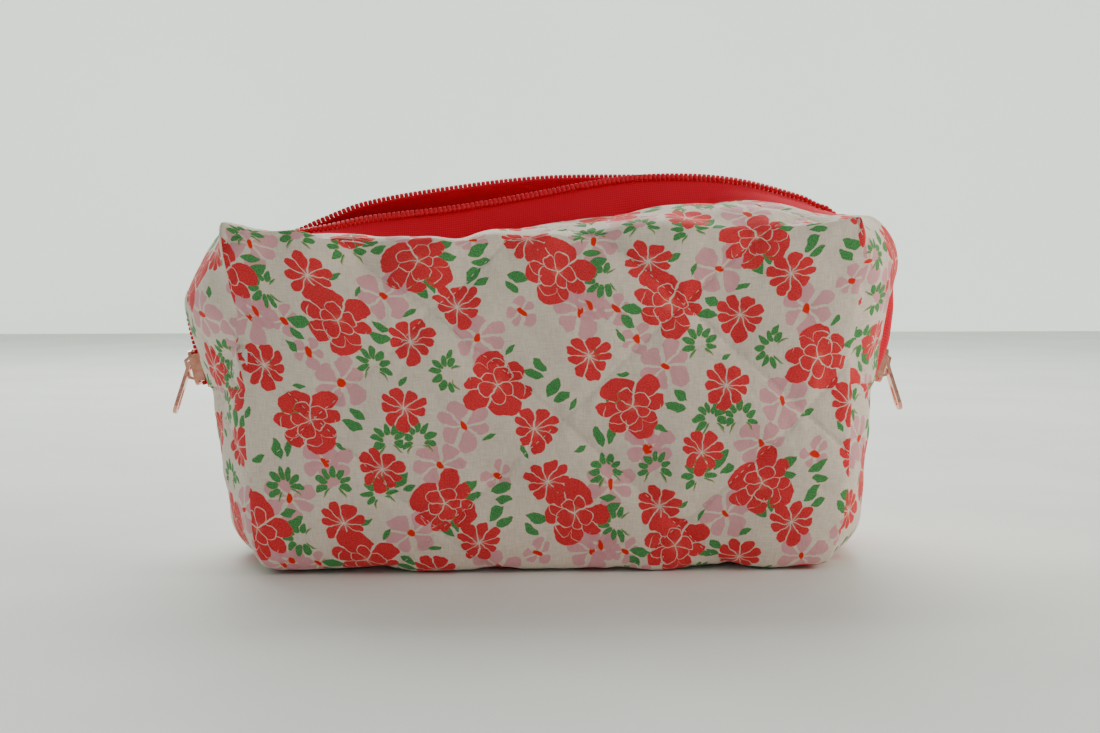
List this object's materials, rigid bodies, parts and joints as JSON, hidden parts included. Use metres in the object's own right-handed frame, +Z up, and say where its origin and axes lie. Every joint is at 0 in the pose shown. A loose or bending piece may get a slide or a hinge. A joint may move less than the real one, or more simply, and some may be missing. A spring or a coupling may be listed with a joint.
{
  "type": "makeup bag",
  "caption": "Boxy quilted cotton pouch with a zip along the top and down both ends, two metal sliders with hinged pulls, and two soft top flaps that open.",
  "frame": {"origin": "middle of the flat base, on the surface the pouch stands on", "axes": "+Z up, +X along the zip to the viewer's right, the front face towards -Y"},
  "size_m": [0.249, 0.1, 0.1271],
  "materials": {
    "printed_cotton": null,
    "wadding": "soft fibre wadding",
    "lining": "plain off-white cotton",
    "binding": "folded cotton tape",
    "zip_tape": "red woven polyester tape",
    "zip_coil": "red nylon coil, satin",
    "slider_metal": "rose-gold plated, polished",
    "pull_metal": "rose-gold plated, polished"
  },
  "bodies": {
    "pouch": {"front_coil_left_end": "zip_coil", "front_coil_right_end": "zip_coil", "front_left_corner_binding": "binding", "front_right_corner_binding": "binding", "front_tape_left_end": "zip_tape", "front_tape_right_end": "zip_tape", "left_seam_binding": "binding", "lining": "lining", "outer_cloth": "printed_cotton", "rear_coil_left_end": "zip_coil", "rear_coil_right_end": "zip_coil", "rear_left_corner_binding": "binding", "rear_right_corner_binding": "binding", "rear_tape_left_end": "zip_tape", "rear_tape_right_end": "zip_tape", "right_seam_binding": "binding", "wadding": "wadding"},
    "front_flap": {"front_flap_cloth": "printed_cotton", "front_flap_wadding": "wadding", "front_flap_lining": "lining", "front_zip_tape": "zip_tape", "front_zip_coil": "zip_coil"},
    "rear_flap": {"rear_flap_cloth": "printed_cotton", "rear_flap_wadding": "wadding", "rear_flap_lining": "lining", "rear_zip_tape": "zip_tape", "rear_zip_coil": "zip_coil"},
    "left_slider": {"left_slider": "slider_metal"},
    "right_slider": {"right_slider": "slider_metal"},
    "left_pull": {"left_pull": "pull_metal"},
    "right_pull": {"right_pull": "pull_metal"}
  },
  "joints": [
    {"name": "front_flap_fold", "type": "hinge", "parent": "pouch", "child": "front_flap", "pos_m": [0, -0.0424, 0.10812], "axis": [1, 0, 0], "range_deg": [-9.5, 75]},
    {"name": "rear_flap_fold", "type": "hinge", "parent": "pouch", "child": "rear_flap", "pos_m": [0, 0.0424, 0.10812], "axis": [-1, 0, 0], "range_deg": [-9.5, 75]},
    {"name": "left_slider_run", "type": "slide", "parent": "pouch", "child": "left_slider", "axis": [-0.229, 0, 0.9734], "range_m": [0, 0.012]},
    {"name": "left_pull_swing", "type": "hinge", "parent": "left_slider", "child": "left_pull", "pos_m": [-0.11849, 0, 0.06406], "axis": [0, 1, 0], "range_deg": [0, 130]},
    {"name": "right_slider_run", "type": "slide", "parent": "pouch", "child": "right_slider", "axis": [0.229, 0, 0.9734], "range_m": [0, 0.012]},
    {"name": "right_pull_swing", "type": "hinge", "parent": "right_slider", "child": "right_pull", "pos_m": [0.11849, 0, 0.06406], "axis": [0, -1, 0], "range_deg": [0, 130]}
  ]
}
